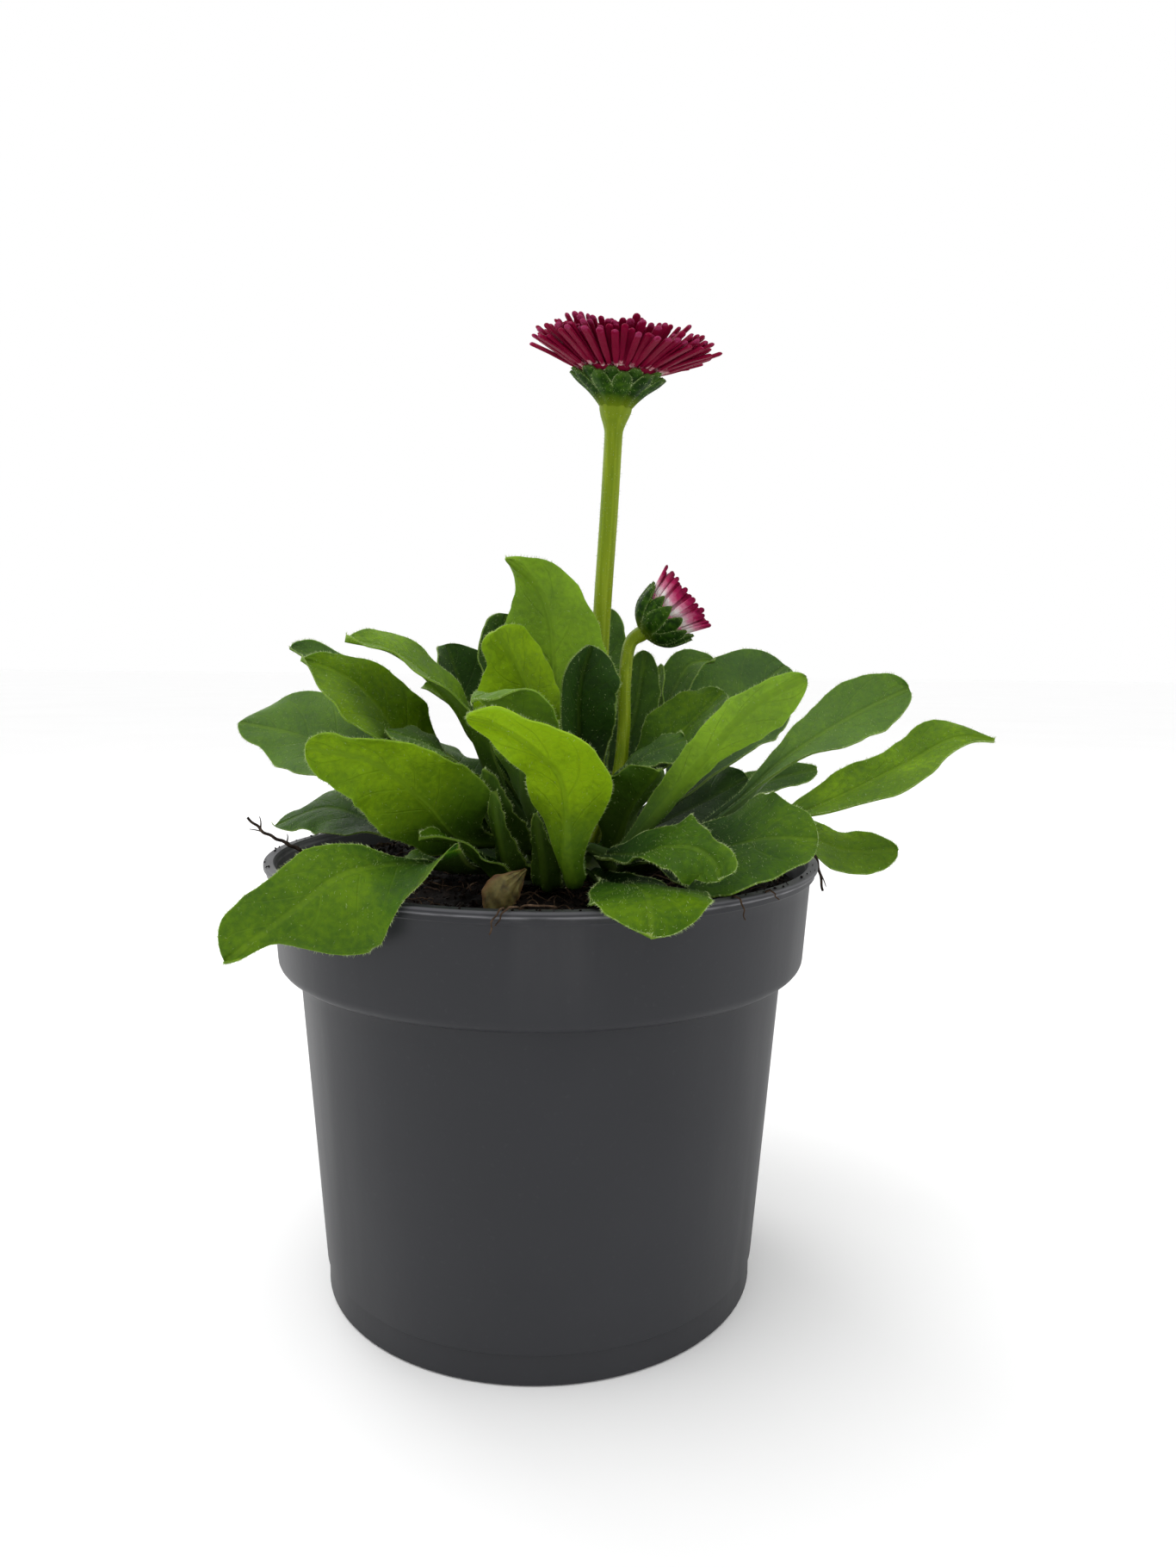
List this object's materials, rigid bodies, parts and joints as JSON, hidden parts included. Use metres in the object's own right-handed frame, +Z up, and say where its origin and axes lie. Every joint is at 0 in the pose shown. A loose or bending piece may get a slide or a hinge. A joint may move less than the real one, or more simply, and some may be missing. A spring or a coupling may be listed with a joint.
{
  "type": "potted english daisy",
  "caption": "Potted daisy plant: a leafy rosette of spoon-shaped leaves with one open crimson bloom and one half-open bud, in a round grey nursery pot with a deep collar.",
  "frame": {"origin": "centre of the flat foot on which the pot stands, on the pot's axis", "axes": "+Z up along the pot's axis; the plant's front, as pictured, faces -Y"},
  "size_m": [0.1684, 0.1276, 0.2087],
  "materials": {
    "pot": "satin dark grey moulded plastic",
    "soil": "rough dark peat",
    "crown": "pale green, half matte",
    "leaf": "half-glossy green with fine hairs",
    "stalk": "yellow green, half matte",
    "bract": "dark green, matte",
    "crimson_floret": "velvety crimson",
    "pink_floret": "velvety, crimson tips on white",
    "dry_leaf": "dry tan, matte",
    "root": "dry grey brown, matte"
  },
  "bodies": {
    "root": {"pot": "pot", "soil": "soil", "crown": "crown", "leaf_front_left_low": "leaf", "leaf_left_bright": "leaf", "leaf_centre_bright": "leaf", "leaf_small_front_left": "leaf", "leaf_yellow_low": "leaf", "leaf_front_right_upper": "leaf", "leaf_front_right_lobe": "leaf", "leaf_big_right_front": "leaf", "leaf_long_right": "leaf", "leaf_right_inner_low": "leaf", "leaf_right_dark_fuzzy": "leaf", "leaf_right_serrated": "leaf", "leaf_back_right_blue": "leaf", "leaf_far_right_up": "leaf", "leaf_far_right_long": "leaf", "leaf_right_low_back": "leaf", "leaf_right_back_low": "leaf", "leaf_right_back_far": "leaf", "leaf_spoon_right": "leaf", "leaf_upright_right": "leaf", "leaf_upright_pale": "leaf", "leaf_behind_stalk": "leaf", "leaf_tall": "leaf", "leaf_dark_centre": "leaf", "leaf_yellow_upright": "leaf", "leaf_fuzzy_arch": "leaf", "leaf_arched_left": "leaf", "leaf_left_pointed": "leaf", "leaf_left_round_tip": "leaf", "leaf_left_blue": "leaf", "leaf_left_low_back": "leaf", "leaf_top_left_dark": "leaf", "leaf_behind_tall": "leaf", "leaf_left_inner_arc": "leaf", "leaf_left_inner_tip": "leaf", "leaf_front_inner_left": "leaf", "leaf_front_inner_mid": "leaf", "leaf_front_strip": "leaf", "leaf_back_1": "leaf", "leaf_back_2": "leaf", "leaf_back_3": "leaf", "leaf_back_4": "leaf", "leaf_back_5": "leaf", "leaf_back_6": "leaf", "stalk_tall": "stalk", "involucre_tall": "bract", "florets_tall": "crimson_floret", "stalk_short": "stalk", "involucre_short": "bract", "florets_short": "pink_floret", "leaf_dead": "dry_leaf", "root_left": "root", "root_right": "root"}
  },
  "joints": []
}
